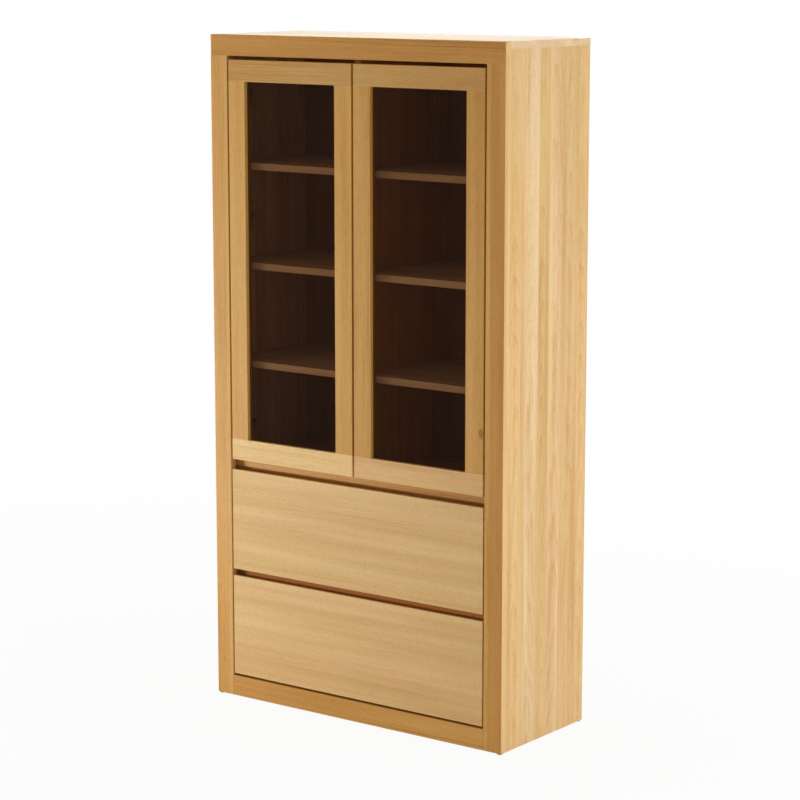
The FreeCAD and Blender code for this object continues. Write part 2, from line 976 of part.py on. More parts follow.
def ball_cages(side, front_low):
    """Strips that keep the balls between two members, above and below."""
    outer_gap = (
        outer_rail_reach - runner_metal - cage_running_gap,
        middle_rail_height / 2,
        outer_rail_height / 2 - runner_metal,
    )
    inner_gap = (
        middle_rail_reach,
        inner_rail_height / 2,
        middle_rail_height / 2 - runner_metal,
    )
    start = (runner_length - cage_length) / 2
    cages = []
    for near, low, high in (outer_gap, inner_gap):
        for direction in (-1, 1):
            cages.append(
                section_bar(
                    side,
                    front_low,
                    (near - cage_width, near),
                    (direction * (low + cage_running_gap), direction * (high - cage_running_gap)),
                    (start, start + cage_length),
                )
            )
    return cages


def runner_packers():
    """Blocks that bring the runners flush with the face stiles."""
    packers = []
    for front_low in (lower_front_low, upper_front_low):
        middle = runner_height(front_low)
        for side in (-1, 1):
            packers.append(
                board(
                    (side * opening_half, side * inner_half),
                    (frame_back_y, runner_front_y + runner_length),
                    (middle - packer_height / 2, middle + packer_height / 2),
                )
            )
    return packers


def write_case():
    write("face_stile_left", [face_stile(-1)])
    write("face_stile_right", [face_stile(1)])
    write("face_top_rail", [face_top_rail()])
    write("face_bottom_rail", [face_bottom_rail()])
    write("left_side_panel", [side_panel(-1)])
    write("right_side_panel", [side_panel(1)])
    write("top_panel", [top_panel()])
    write("base_panel", [base_board()])
    write("middle_panel", [middle_panel()])
    write("middle_front_rail", [middle_front_rail()])
    write("drawer_rail", [drawer_rail()])
    write("centre_partition", [centre_partition()])
    write("back_panel_upper", [back_panel_upper()])
    write("back_panel_lower", [back_panel_lower()])
    write("rear_plinth_rail", [rear_plinth_rail()])
    write("floor_glides", floor_glides())


def write_shelves():
    for step, name in enumerate(shelf_names):
        write("left_shelf_" + name, [shelf(-1, step)])
        write("right_shelf_" + name, [shelf(1, step)])
    write("shelf_pins", shelf_pins())


def write_door(name, side):
    write(name + "_door_hinge_stile", [door_stile(side, True)])
    write(name + "_door_meeting_stile", [door_stile(side, False)])
    write(name + "_door_top_rail", [door_rail(side, True)])
    write(name + "_door_bottom_rail", [door_rail(side, False)])
    write(name + "_door_glass", [glass_pane(side)])
    write(name + "_door_glazing_beads", glazing_beads(side))
    write(name + "_hinge_cups", [hinge_cup(side, z) for z in hinge_heights])
    write(name + "_hinge_links", [hinge_link(side, z) for z in hinge_heights])
    write(name + "_hinge_arms", [hinge_arm(side, z) for z in hinge_heights])


def write_drawer(name, front_low):
    write(name + "_drawer_front", [drawer_front(front_low)])
    write(name + "_drawer_side_left", [drawer_side(-1, front_low)])
    write(name + "_drawer_side_right", [drawer_side(1, front_low)])
    write(name + "_drawer_back", [drawer_back(front_low)])
    write(name + "_drawer_bottom", [drawer_bottom(front_low)])
    sides = (-1, 1)
    write(name + "_runner_case_rails", [case_rail(side, front_low) for side in sides])
    middle_parts = [middle_rail(side, front_low) for side in sides]
    for side in sides:
        middle_parts += ball_cages(side, front_low)
    write(name + "_runner_middle_rails", middle_parts)
    write(name + "_runner_drawer_rails", [drawer_rail_member(side, front_low) for side in sides])


os.makedirs("parts", exist_ok=True)
write_case()
write_shelves()
write("hinge_blocks", hinge_blocks())
write("door_bumpers", door_bumpers())
write("runner_packers", runner_packers())
write_door("left", -1)
write_door("right", 1)
write_drawer("lower", lower_front_low)
write_drawer("upper", upper_front_low)
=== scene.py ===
import bmesh
import bpy
import math
from mathutils import Matrix, Vector


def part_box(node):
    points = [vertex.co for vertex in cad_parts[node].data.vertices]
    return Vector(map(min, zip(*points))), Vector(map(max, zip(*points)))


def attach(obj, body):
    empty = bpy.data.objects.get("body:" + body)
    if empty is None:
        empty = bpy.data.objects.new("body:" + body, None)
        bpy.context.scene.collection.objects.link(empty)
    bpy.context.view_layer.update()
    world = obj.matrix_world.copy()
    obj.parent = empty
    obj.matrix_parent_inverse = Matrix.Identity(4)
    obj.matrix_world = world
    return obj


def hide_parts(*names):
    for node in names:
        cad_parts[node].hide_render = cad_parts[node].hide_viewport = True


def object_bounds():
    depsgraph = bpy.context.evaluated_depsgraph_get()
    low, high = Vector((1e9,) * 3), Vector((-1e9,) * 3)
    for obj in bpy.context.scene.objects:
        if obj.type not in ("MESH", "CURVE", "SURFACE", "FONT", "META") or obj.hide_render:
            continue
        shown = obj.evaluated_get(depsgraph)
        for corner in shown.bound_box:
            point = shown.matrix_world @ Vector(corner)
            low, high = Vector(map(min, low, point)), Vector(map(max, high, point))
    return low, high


# A tall kitchen cabinet in oiled hardwood, with two doors of bronze glass over two drawers.
# Lengths are in metres. X runs to the right, Y towards the wall, Z up from the floor.

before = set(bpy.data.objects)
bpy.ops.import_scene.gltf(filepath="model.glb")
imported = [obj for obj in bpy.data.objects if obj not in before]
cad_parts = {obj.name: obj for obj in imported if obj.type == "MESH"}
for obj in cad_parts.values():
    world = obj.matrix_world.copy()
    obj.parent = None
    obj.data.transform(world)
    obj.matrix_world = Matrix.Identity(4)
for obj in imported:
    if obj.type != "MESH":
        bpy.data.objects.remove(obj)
cad_box = [list(corner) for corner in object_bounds()]

quarter_turn = math.pi / 2
white = (1.0, 1.0, 1.0, 1.0)
sides = (("left", -1), ("right", 1))
shelf_levels = ("lower", "middle", "upper")
drawer_names = ("lower", "upper")


# Nodes of the finishes

# The sockets of a Mix node that mixes colours.
mix_factor, mix_first, mix_second, mix_result = 0, 6, 7, 2


def tone(red, green, blue):
    """A colour as it is seen on a screen, from 0 to 255, as the light that it sends back."""
    light = []
    for level in (red, green, blue):
        share = level / 255
        light.append(share / 12.92 if share < 0.04045 else ((share + 0.055) / 1.055) ** 2.4)
    return (*light, 1.0)


def put(tree, kind, inputs=None, **settings):
    """Adds a node, sets it up, and gives its inputs a value or what another node sends."""
    node = tree.nodes.new("ShaderNode" + kind)
    for key, value in settings.items():
        setattr(node, key, value)
    for key, value in (inputs or {}).items():
        if isinstance(value, bpy.types.NodeSocket):
            tree.links.new(value, node.inputs[key])
        else:
            node.inputs[key].default_value = value
    return node


def sums(tree, operation, *values):
    inputs = dict(enumerate(values))
    return put(tree, "Math", inputs, operation=operation).outputs[0]


def vector_sums(tree, operation, first, second):
    return put(tree, "VectorMath", {0: first, 1: second}, operation=operation).outputs[0]


def stretched(tree, place, scale):
    return put(tree, "Mapping", {"Vector": place, "Scale": scale}).outputs[0]


def length_of(tree, vector):
    return put(tree, "VectorMath", {0: vector}, operation="LENGTH").outputs["Value"]


def spread(tree, value, old=(0.0, 1.0), new=(0.0, 1.0)):
    """Carries a value from an old range to a new one."""
    limits = {0: value, 1: old[0], 2: old[1], 3: new[0], 4: new[1]}
    return put(tree, "MapRange", limits).outputs[0]


def noise(tree, place, size, detail, output=0):
    """Soft noise whose blots are about as large as the size."""
    inputs = {"Vector": place, "Scale": 1 / size, "Detail": detail}
    return put(tree, "TexNoise", inputs).outputs[output]


def steps(tree, factor, stops, interpolation="LINEAR"):
    """A colour ramp through (place, colour) stops."""
    node = put(tree, "ValToRGB", {"Fac": factor})
    ramp = node.color_ramp
    ramp.interpolation = interpolation
    while len(ramp.elements) < len(stops):
        ramp.elements.new(1.0)
    for element, (place, colour) in zip(ramp.elements, stops):
        element.position = place
        element.color = colour if isinstance(colour, tuple) else (colour, colour, colour, 1.0)
    return node.outputs["Color"]


def blended(tree, kind, factor, first, second):
    node = put(tree, "Mix", data_type="RGBA", blend_type=kind)
    for place, value in ((mix_factor, factor), (mix_first, first), (mix_second, second)):
        if isinstance(value, bpy.types.NodeSocket):
            tree.links.new(value, node.inputs[place])
        else:
            node.inputs[place].default_value = value
    return node.outputs[mix_result]


def new_finish(name):
    material = bpy.data.materials.new(name)
    material.use_nodes = True
    return material, material.node_tree, material.node_tree.nodes["Principled BSDF"]


def raised(tree, shader, height, strength, depth):
    """Lets a height show as relief of about a depth."""
    bump = put(tree, "Bump", {"Height": height, "Strength": strength, "Distance": depth})
    tree.links.new(bump.outputs[0], shader.inputs["Normal"])


# Wood

grain_turns = {"x": (0, quarter_turn, 0), "y": (quarter_turn, 0, 0), "z": (0, 0, 0)}

# What each thing in the figure leaves of a colour as seen, in red, green and blue.
late_wood_shares = (0.87, 0.79, 0.66)
vein_shares = (0.9, 0.84, 0.74)
pore_shares = (0.84, 0.76, 0.66)
green_shares = (0.985, 0.995, 0.955)
pink_shares = (1.0, 0.982, 0.985)
knot_shares = (0.7, 0.64, 0.4)
screen_gamma = 2.2

# How wide across the grain and how long along it each kind of streak is.
cloud_size = (0.07, 0.8)
band_size = (0.022, 0.9)
fine_size = (0.005, 0.3)
fibre_size = (0.0014, 0.05)
tinge_size = (0.035, 0.7)
vein_group_size = (0.05, 1.1)
vein_size = (0.0024, 0.5)
pore_size = (0.0009, 0.016)

# How much of the figure each kind makes, and where the figure starts to show.
band_weight = 0.36
cloud_weight = 0.36
fine_weight = 0.17
fibre_weight = 0.12
figure_start = 0.125

# Ramps from a place in a year's growth, or from the strength of streaks, to how much they show.
year_stops = ((0.0, 0.0), (0.5, 0.2), (0.88, 0.85), (0.95, 1.0), (1.0, 0.0))
vein_group_stops = ((0.45, 0.0), (0.8, 1.0))
vein_stops = ((0.62, 0.0), (0.86, 1.0))
pore_stops = ((0.74, 0.0), (0.95, 1.0))
knot_stops = ((0.0, 0.6), (0.3, 0.7), (0.55, 1.0), (0.75, 0.55), (1.0, 0.0))

clouded_share, even_share = 0.8, 0.2
pore_strength = 0.55
late_wood_height = 0.4
grain_strength = 0.22
grain_depth = 0.0002

# Noise lies nearly all between these two, and a colour of it round the middle.
noise_low, noise_high = 0.3, 0.7
noise_middle = (0.5, 0.5, 0.5)
drift_pace = (2.2, 2.2, 0.9)
other_noise = (7.0, 3.0, 5.0)
board_spacing = 3.7

# How slender a knot is, how uneven its rim is, between which distances from it, in half widths,
# the grain bends round it, and by which share of half its width.
knot_slenderness = 0.5
knot_unevenness = (0.9, 0.0, 0.9)
bend_reach = (0.4, 3.0)
bend_share = 0.65


def shares_of_light(shares):
    """What cuts a colour as seen, from 0 to 1, to its shares, when multiplied by its light."""
    return (*(share**screen_gamma for share in shares), 1.0)


def darkened(tree, colour, mask, shares, strength=1.0):
    """A colour brought down to its shares where the mask is 1."""
    light = blended(tree, "MIX", mask, white, shares_of_light(shares))
    return blended(tree, "MULTIPLY", strength, colour, light)


def centred(tree, colour):
    """A colour of noise as a move to either side."""
    return vector_sums(tree, "SUBTRACT", colour, noise_middle)


def veins(tree, place, size, detail=2.0):
    """Soft streaks along the grain, of about a width and a length, from 0 to 1."""
    width, length = size
    streaks = stretched(tree, place, (1 / width, 1 / width, 1 / length))
    return spread(tree, noise(tree, streaks, 1.0, detail), (noise_low, noise_high))


def round_knot(tree, spot, place, middle, half_width):
    """How many half widths a spot is from a knot, and its place in grain bent round it."""
    away = vector_sums(tree, "SUBTRACT", spot, middle)
    away = stretched(tree, away, (1 / half_width, 0.0, knot_slenderness / half_width))
    uneven = centred(tree, noise(tree, spot, half_width, 2.0, "Color"))
    uneven = vector_sums(tree, "MULTIPLY", uneven, knot_unevenness)
    away = vector_sums(tree, "ADD", away, uneven)
    reach = length_of(tree, away)
    bend = spread(tree, reach, bend_reach, (half_width * bend_share, 0.0))
    bent = put(tree, "VectorMath", {0: away, "Scale": bend}, operation="SCALE").outputs[0]
    bent = vector_sums(tree, "MULTIPLY", bent, (1.0, 0.0, 0.0))
    return reach, vector_sums(tree, "SUBTRACT", place, bent)


def ring_radius(tree, place, pith, wander, taper):
    """How far a place is from the pith, which wanders, and leans if there is a taper."""
    drift = centred(tree, noise(tree, stretched(tree, place, drift_pace), 1.0, 3.0, "Color"))
    drift = vector_sums(tree, "MULTIPLY", drift, (wander, wander, 0.0))
    core = vector_sums(tree, "SUBTRACT", place, (*pith, 0.0))
    core = vector_sums(tree, "ADD", core, drift)
    radius = length_of(tree, vector_sums(tree, "MULTIPLY", core, (1.0, 1.0, 0.0)))
    if taper:
        height = put(tree, "SeparateXYZ", {0: place}).outputs["Z"]
        radius = sums(tree, "MULTIPLY_ADD", height, taper, radius)
    return radius


def wood(
    name, along, centre, staves, pith, seed,
    ring=0.0048, wander=0.06, flow=3.0, taper=0.0, rings=0.35, hearts=None,
    scatter=(0.16, 0.16, 9.0), streaks=1.0, knot=None, gloss=0.16, dullness=(0.46, 0.62),
):
    """Oiled wood cut from round a pith, whose place is given across the grain from the board's
    middle. Growth rings close to the pith show as arches, and far from it as straight lines.
    The staves are an axis, a lowest and a highest place, and (share, colour) pairs. Hearts are
    (share, share) pairs that put the pith of each stave at its own middle. A knot is its place
    on the front of an upright board, and half its width."""
    material, tree, shader = new_finish(name)
    spot = put(tree, "TexCoord").outputs["Object"]
    place = vector_sums(tree, "SUBTRACT", spot, centre)
    axis, low, high, stops = staves
    across = put(tree, "SeparateXYZ", {0: spot}).outputs[axis]
    share = spread(tree, across, (low, high))
    ground = steps(tree, share, stops, "CONSTANT")
    if hearts:
        middle = centre["XYZ".index(axis)]
        heart = steps(tree, share, hearts, "CONSTANT")
        heart = spread(tree, heart, new=(low - middle, high - middle))
        heart = put(tree, "CombineXYZ", {axis: heart}).outputs[0]
        place = vector_sums(tree, "SUBTRACT", place, heart)
    luck = centred(tree, put(tree, "TexWhiteNoise", {"Vector": ground}).outputs["Color"])
    place = vector_sums(tree, "ADD", place, vector_sums(tree, "MULTIPLY", luck, scatter))
    if knot:
        reach, place = round_knot(tree, spot, place, *knot)
    place = put(tree, "Mapping", {"Vector": place, "Rotation": grain_turns[along]}).outputs[0]
    place = vector_sums(tree, "ADD", place, (0.0, 0.0, seed * board_spacing))

    clouds = veins(tree, place, cloud_size)
    bands = veins(tree, place, band_size, 3.0)
    radius = ring_radius(tree, place, pith, wander, taper)
    year = sums(tree, "MULTIPLY_ADD", bands, flow, sums(tree, "DIVIDE", radius, ring))
    late_wood = steps(tree, sums(tree, "FRACT", year), year_stops)
    clouding = sums(tree, "MULTIPLY_ADD", clouds, clouded_share, even_share)
    late_wood = sums(tree, "MULTIPLY", late_wood, clouding)
    fine = veins(tree, place, fine_size, 4.0)
    fibres = veins(tree, place, fibre_size, 3.0)
    figure = sums(tree, "MULTIPLY", late_wood, rings)
    figure = sums(tree, "MULTIPLY_ADD", bands, band_weight, figure)
    figure = sums(tree, "MULTIPLY_ADD", clouds, cloud_weight, figure)
    figure = sums(tree, "MULTIPLY_ADD", fine, fine_weight * streaks, figure)
    figure = sums(tree, "MULTIPLY_ADD", fibres, fibre_weight * streaks, figure)
    mean_streaks = (fine_weight + fibre_weight) / 2 * streaks
    figure = sums(tree, "SUBTRACT", figure, figure_start + mean_streaks)
    shown = darkened(tree, ground, figure, late_wood_shares)

    other = vector_sums(tree, "ADD", place, other_noise)
    green, pink = shares_of_light(green_shares), shares_of_light(pink_shares)
    tinge = blended(tree, "MIX", veins(tree, other, tinge_size), green, pink)
    shown = blended(tree, "MULTIPLY", 1.0, shown, tinge)
    groups = steps(tree, veins(tree, other, vein_group_size), vein_group_stops)
    vein = steps(tree, veins(tree, other, vein_size, 1.0), vein_stops)
    vein = sums(tree, "MULTIPLY", vein, sums(tree, "MULTIPLY", groups, streaks))
    shown = darkened(tree, shown, vein, vein_shares)
    pores = steps(tree, veins(tree, place, pore_size, 1.0), pore_stops)
    shown = darkened(tree, shown, pores, pore_shares, pore_strength)
    if knot:
        shown = darkened(tree, shown, steps(tree, reach, knot_stops), knot_shares)
    tree.links.new(shown, shader.inputs["Base Color"])

    tree.links.new(spread(tree, figure, new=dullness), shader.inputs["Roughness"])
    shader.inputs["Specular IOR Level"].default_value = gloss
    hollows = sums(tree, "MAXIMUM", pores, vein)
    height = sums(tree, "MULTIPLY", late_wood, late_wood_height)
    height = sums(tree, "MULTIPLY_ADD", hollows, -1.0, height)
    raised(tree, shader, height, grain_strength, grain_depth)
    return material


# Glass, metal, felt and nylon


def bronze_glass(name, tint):
    """Body-tinted glass. Rays from lamps pass it as light passes a thin pane."""
    material, tree, shader = new_finish(name)
    shader.inputs["Base Color"].default_value = tint
    shader.inputs["Transmission Weight"].default_value = 1.0
    shader.inputs["Roughness"].default_value = 0.0
    shader.inputs["IOR"].default_value = 1.12
    through = tuple(math.sqrt(level) for level in tint[:3]) + (1.0,)
    clear = put(tree, "BsdfTransparent", {"Color": through})
    path = put(tree, "LightPath")
    pane = put(tree, "MixShader", {0: path.outputs["Is Shadow Ray"]})
    tree.links.new(shader.outputs[0], pane.inputs[1])
    tree.links.new(clear.outputs[0], pane.inputs[2])
    tree.links.new(pane.outputs[0], tree.nodes["Material Output"].inputs["Surface"])
    return material


stain_size = 0.016
scratch_size = 0.0011
scratch_strength = 0.1
scratch_depth = 0.0001
least_worn, most_worn = 0.8, 1.3


def metal(name, pale, dark, rough):
    """Plated metal with soft stains and fine scratches."""
    material, tree, shader = new_finish(name)
    place = put(tree, "TexCoord").outputs["Object"]
    stains = noise(tree, place, stain_size, 6.0)
    colour = steps(tree, stains, ((noise_low, dark), (noise_high, pale)))
    tree.links.new(colour, shader.inputs["Base Color"])
    shader.inputs["Metallic"].default_value = 1.0
    worn = spread(tree, stains, new=(rough * least_worn, rough * most_worn))
    tree.links.new(worn, shader.inputs["Roughness"])
    raised(tree, shader, noise(tree, place, scratch_size, 3.0), scratch_strength, scratch_depth)
    return material


speckle_strength = 0.4
speckle_low, speckle_high = 0.35, 0.65


def matt(name, pale, dark, grain_size, rough, depth):
    """A matt finish with fine speckles, for felt and nylon."""
    material, tree, shader = new_finish(name)
    place = put(tree, "TexCoord").outputs["Object"]
    speckles = noise(tree, place, grain_size, 4.0)
    colour = steps(tree, speckles, ((speckle_low, dark), (speckle_high, pale)))
    tree.links.new(colour, shader.inputs["Base Color"])
    shader.inputs["Roughness"].default_value = rough
    raised(tree, shader, speckles, speckle_strength, depth)
    return material


glass = bronze_glass("bronze_glass", tint=(0.445, 0.36, 0.305, 1.0))
plated_steel = metal(
    "plated_steel", pale=(0.66, 0.66, 0.66, 1.0), dark=(0.57, 0.57, 0.58, 1.0), rough=0.34
)
satin_nickel = metal(
    "satin_nickel", pale=(0.68, 0.63, 0.56, 1.0), dark=(0.5, 0.45, 0.38, 1.0), rough=0.34
)
grey_felt = matt(
    "grey_felt", pale=tone(150, 140, 128), dark=tone(105, 96, 88),
    grain_size=0.0006, rough=0.95, depth=0.0002,
)
black_nylon = matt(
    "black_nylon", pale=tone(60, 58, 56), dark=tone(38, 37, 36),
    grain_size=0.0012, rough=0.5, depth=0.0001,
)


# The finish of each piece of the frame

honey = tone(216, 171, 101)
amber = tone(207, 156, 88)
caramel = tone(210, 165, 95)
flax = tone(207, 166, 104)
ginger = tone(210, 163, 92)
# The next colour is painted shade for the rail in the upper finger gap.
upper_gap_painted_shade = tone(188, 130, 70)
straw = tone(227, 195, 143)
wheat = tone(240, 209, 156)
barley = tone(223, 183, 118)
biscuit = tone(235, 203, 154)
cream = tone(239, 214, 175)
blush = tone(237, 208, 167)
moss = tone(228, 198, 147)
ochre = tone(229, 198, 150)
sand = tone(228, 193, 140)
acorn = tone(221, 194, 150)
# The next colour is painted light for the rail in the upper finger gap, where the drawer front's
# shadow falls.
upper_gap_painted_light = tone(214, 151, 82)
# The next colour is painted shade for the inner half of the back panels.
painted_inner_shade = tone(165, 120, 74)
# The next two colours are painted light and painted shade for the rail in the lower finger gap.
lower_gap_painted_light = tone(184, 111, 37)
lower_gap_painted_shade = tone(140, 94, 29)

# The staves of a side panel, each from a share of the depth on, with its pith at its middle.
side_stops = (
    (0.0, cream), (0.055, biscuit), (0.235, cream), (0.4, moss),
    (0.52, blush), (0.67, ochre), (0.87, biscuit),
)
half_depth = 0.2
side_staves = ("Y", -half_depth, half_depth, side_stops)
stave_ends = [share for share, colour in side_stops] + [1.0]
side_hearts = [(start, (start + end) / 2) for start, end in zip(stave_ends, stave_ends[1:])]


def plank(node, along, colour, pith=(0.35, 0.25), staves=None, **cut):
    """Dresses a board of the frame in wood of its own, with the grain laid along an axis."""
    low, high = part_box(node)
    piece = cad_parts[node]
    seed = 1 + list(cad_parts).index(node)
    staves = staves or ("X", low.x, high.x, ((0.0, colour), (1.0, colour)))
    finish = wood(node + "_wood", along, tuple((low + high) / 2), staves, pith, seed, **cut)
    for slot in piece.material_slots:
        slot.material = finish


def plate(node, finish):
    """Dresses a piece of the frame in a finish that others share."""
    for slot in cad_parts[node].material_slots:
        slot.material = finish


flat_sawn = {
    "ring": 0.0065,
    "wander": 0.05,
    "flow": 0.8,
    "taper": 0.05,
    "rings": 0.48,
    "hearts": side_hearts,
    "scatter": (0.05, 0.02, 9.0),
}
calm_grain = {"ring": 0.009, "wander": 0.09, "rings": 0.1, "streaks": 0.5}
polish = {"gloss": 0.7, "dullness": (0.2, 0.32)}
side_pith = (0.04, 0.0)
back_pith = (0.05, 0.12)
bottom_pith = (0.02, 0.1)

# The knot near the foot of a door's stile.
stile_knot = ((0.4285, 0.0, 0.871), 0.0078)
door_looks = {"left": (honey, wheat, None), "right": (caramel, sand, stile_knot)}

# A face stile has a strip of another tone along its inner edge, and a pale skin at its outer one.
stile_strip = 0.013
edge_skin = 0.0003
case_left, case_right = (corner[0] for corner in cad_box)

# A rail in a finger gap is painted in darker tones than the front boards, as painted shade for
# the recess, and is painted paler up to this height over the drawer front, as painted light where
# the drawer front casts its shadow.
painted_light_rise = 0.009

for side_name, side in sides:
    low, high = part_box("face_stile_" + side_name)
    strip_share = stile_strip / (high.x - low.x)
    skin_share = edge_skin / (high.x - low.x)
    if side < 0:
        stops = ((0.0, biscuit), (skin_share, honey), (1.0 - strip_share, barley))
    else:
        stops = ((0.0, honey), (strip_share, amber), (1.0 - skin_share, biscuit))
    plank("face_stile_" + side_name, "z", None, staves=("X", low.x, high.x, stops))
skin_share = edge_skin / (case_right - case_left)
rail_stops = ((0.0, biscuit), (skin_share, amber), (1.0 - skin_share, biscuit))
rail_staves = ("X", case_left, case_right, rail_stops)
plank("face_top_rail", "x", None, staves=rail_staves)
plank("face_bottom_rail", "x", ginger)
# The top panel is cream, the pale tone of the sides, and its paleness is in part a painted sheen
# for the whitish reflection on the top.
plank("top_panel", "x", cream, **polish)
# Each rail takes its painted light colour low down and its painted shade colour above.
for node, below, pale, dark in (
    ("middle_front_rail", "upper", upper_gap_painted_light, upper_gap_painted_shade),
    ("drawer_rail", "lower", lower_gap_painted_light, lower_gap_painted_shade),
):
    low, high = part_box(node)
    front_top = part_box(below + "_drawer_front")[1].z
    painted_light_share = (front_top + painted_light_rise - low.z) / (high.z - low.z)
    gap_staves = ("Z", low.z, high.z, ((0.0, pale), (painted_light_share, dark)))
    plank(node, "x", None, staves=gap_staves)
for node in ("base_panel", "middle_panel", "rear_plinth_rail"):
    plank(node, "x", amber)
plank("centre_partition", "z", amber)
# The inner half of each back panel's thickness is painted darker, as painted shade for the dim
# inside of the case.
for node in ("back_panel_upper", "back_panel_lower"):
    low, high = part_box(node)
    back_staves = ("Y", low.y, high.y, ((0.0, painted_inner_shade), (0.5, honey)))
    plank(node, "z", None, staves=back_staves, pith=back_pith)
plank("hinge_blocks", "z", honey)
plank("runner_packers", "y", honey)
plate("shelf_pins", plated_steel)
plate("door_bumpers", grey_felt)
plate("floor_glides", black_nylon)
for side_name, side in sides:
    plank(side_name + "_side_panel", "z", None, staves=side_staves, pith=side_pith, **flat_sawn)
    for level in shelf_levels:
        plank(side_name + "_shelf_" + level, "x", acorn)
    door = side_name + "_door"
    stile_tone, foot_tone, knot = door_looks[side_name]
    plank(door + "_hinge_stile", "z", stile_tone, knot=knot)
    plank(door + "_meeting_stile", "z", stile_tone)
    plank(door + "_top_rail", "x", flax)
    plank(door + "_bottom_rail", "x", foot_tone)
    plank(door + "_glazing_beads", "z", honey)
    plate(door + "_glass", glass)
    for part in ("_hinge_cups", "_hinge_links", "_hinge_arms"):
        plate(side_name + part, satin_nickel)
for name in drawer_names:
    plank(name + "_drawer_front", "x", straw, **calm_grain)
    plank(name + "_drawer_side_left", "y", biscuit)
    plank(name + "_drawer_side_right", "y", biscuit)
    plank(name + "_drawer_back", "x", biscuit)
    plank(name + "_drawer_bottom", "x", biscuit, pith=bottom_pith)
    for part in ("_runner_case_rails", "_runner_middle_rails", "_runner_drawer_rails"):
        plate(name + part, plated_steel)


# Small turned and driven pieces. Their sizes and places are in millimetres.

metres_in_mm = 0.001
same_place = 0.0001
sharp_angle = 0.6
roll_step = 0.7


def turned(profile, segments):
    """A round piece that stands on Z, spun from (radius, height) points."""
    shape = bmesh.new()
    corners = [shape.verts.new((radius, 0.0, height)) for radius, height in profile]
    edges = [shape.edges.new(pair) for pair in zip(corners, corners[1:])]
    bmesh.ops.spin(
        shape,
        geom=corners + edges,
        cent=(0.0, 0.0, 0.0),
        axis=(0.0, 0.0, 1.0),
        angle=math.tau,
        steps=segments,
        use_merge=True,
    )
    bmesh.ops.remove_doubles(shape, verts=shape.verts, dist=same_place)
    bmesh.ops.recalc_face_normals(shape, faces=shape.faces)
    bmesh.ops.scale(shape, vec=(metres_in_mm,) * 3, verts=shape.verts)
    return shape


def screw(radius):
    """A countersunk screw's head, a little proud, with a cross recess sunk into its top."""
    top, rim, seat, depth = 0.3, 0.05, -0.9, 0.7
    crown, shank = radius * 0.86, radius * 0.7
    arm, slot_half = radius * 0.62, radius * 0.13
    profile = [(0.0, top), (crown, top), (radius, rim), (shank, seat), (0.0, seat)]
    head = turned(profile, segments=16)
    for axis in (Vector((1.0, 0.0, 0.0)), Vector((0.0, 1.0, 0.0))):
        for line in (-arm, -slot_half, slot_half, arm):
            bmesh.ops.bisect_plane(
                head,
                geom=head.verts[:] + head.edges[:] + head.faces[:],
                plane_co=axis * line * metres_in_mm,
                plane_no=axis,
            )
    sunk = []
    for face in head.faces:
        middle = face.calc_center_median() / metres_in_mm
        nearer, farther = sorted((abs(middle.x), abs(middle.y)))
        if middle.z > (top + rim) / 2 and nearer < slot_half and farther < arm:
            sunk.append(face)
    walls = bmesh.ops.extrude_face_region(head, geom=sunk)["geom"]
    bottom = [item for item in walls if isinstance(item, bmesh.types.BMVert)]
    bmesh.ops.translate(head, vec=(0.0, 0.0, -depth * metres_in_mm), verts=bottom)
    bmesh.ops.delete(head, geom=sunk, context="FACES_ONLY")
    return head


def facing(place, direction, roll=0.0):
    """Where a piece goes, and the way that its top looks."""
    turn = Vector(direction).to_track_quat("Z", "Y").to_matrix().to_4x4()
    move = Matrix.Translation(Vector(place) * metres_in_mm)
    return move @ turn @ Matrix.Rotation(roll, 4, "Z")


def set_of(name, pattern, places, finish, body):
    """One piece that holds a copy of the pattern at each place, and rides on a body."""
    data = bpy.data.meshes.new(name)
    copy_data = bpy.data.meshes.new(name + "_copy")
    joined = bmesh.new()
    for place in places:
        copy = pattern.copy()
        bmesh.ops.transform(copy, matrix=place, verts=copy.verts)
        copy.to_mesh(copy_data)
        copy.free()
        joined.from_mesh(copy_data)
    joined.to_mesh(data)
    joined.free()
    bpy.data.meshes.remove(copy_data)
    for face in data.polygons:
        face.use_smooth = True
    data.set_sharp_from_angle(angle=sharp_angle)
    data.materials.append(finish)
    piece = bpy.data.objects.new(name, data)
    bpy.context.collection.objects.link(piece)
    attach(piece, body)
    return piece


def corners_of(node):
    """The lowest and the highest corner of a piece of the frame."""
    low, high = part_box(node)
    return low / metres_in_mm, high / metres_in_mm


def roll_of(number):
    """Each screw stops at a turn of its own."""
    return number * roll_step


# Shelf pins, bumpers and glides, rounder than their solids

pin_from_shelf_end = 50.0
pin_peg_radius = 3.5
pin_profile = [
    (0.0, -7.8), (2.2, -7.8), (2.5, -7.4), (2.5, 0.05), (3.45, 0.05),
    (pin_peg_radius, 0.3), (pin_peg_radius, 6.4), (3.1, 6.95), (0.0, 6.95),
]
partition_face = corners_of("centre_partition")[1].x
case_inner_face = corners_of("hinge_blocks")[1].x
pin_places = []
for side_name, side in sides:
    for level in shelf_levels:
        shelf_low, shelf_high = corners_of(side_name + "_shelf_" + level)
        z = shelf_low.z - pin_peg_radius
        for y in (shelf_low.y + pin_from_shelf_end, shelf_high.y - pin_from_shelf_end):
            pin_places.append(facing((side * case_inner_face, y, z), (-side, 0, 0)))
            pin_places.append(facing((side * partition_face, y, z), (side, 0, 0)))
pin = turned(pin_profile, segments=20)
pins = set_of("turned_shelf_pins", pin, pin_places, plated_steel, "case")
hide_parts("shelf_pins")

